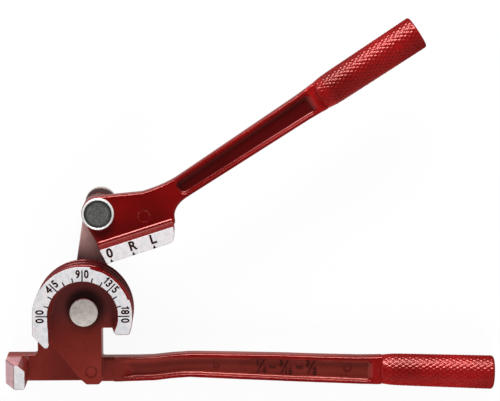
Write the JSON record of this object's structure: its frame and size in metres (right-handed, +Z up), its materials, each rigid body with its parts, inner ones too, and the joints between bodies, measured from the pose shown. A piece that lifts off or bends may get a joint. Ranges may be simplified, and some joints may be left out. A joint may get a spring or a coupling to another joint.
{
  "type": "lever tube bender",
  "caption": "Hand lever bender for small tubes: grooved half-round former with a degree dial, swinging link and forming shoe, and two long handles with knurled grips.",
  "frame": {"origin": "centre of the centre pin's tail, on the bench that the tool lies on", "axes": "+X along the lower handle towards its grip, +Y towards the upper handle, +Z up out of the dial, along both pins"},
  "size_m": [0.3144, 0.2408, 0.0505],
  "materials": {
    "casting_enamel": "glossy red enamel on a die casting",
    "link_steel": "bare rolled steel",
    "pale_steel": "satin turned steel",
    "dark_steel": "dark turned steel"
  },
  "bodies": {
    "former_and_lower_handle": {"lower_handle": "casting_enamel", "centre_pin": "pale_steel", "centre_thrust_washer": "pale_steel", "centre_tail_washer": "pale_steel", "centre_retaining_ring": "dark_steel"},
    "link": {"link_bar": "link_steel", "upper_pin": "dark_steel", "upper_thrust_washer": "pale_steel", "upper_tail_washer": "pale_steel", "upper_retaining_ring": "dark_steel"},
    "shoe_and_upper_handle": {"upper_handle": "casting_enamel"}
  },
  "joints": [
    {"name": "link_swing", "type": "hinge", "parent": "former_and_lower_handle", "child": "link", "pos_m": [0, 0, 0.0059], "axis": [0, 0, 1], "range_deg": [-81.2, 98.8]},
    {"name": "upper_handle_swing", "type": "hinge", "parent": "link", "child": "shoe_and_upper_handle", "pos_m": [0.00982, 0.06344, 0.03], "axis": [0, 0, 1], "range_deg": [-39.5, 75]}
  ]
}
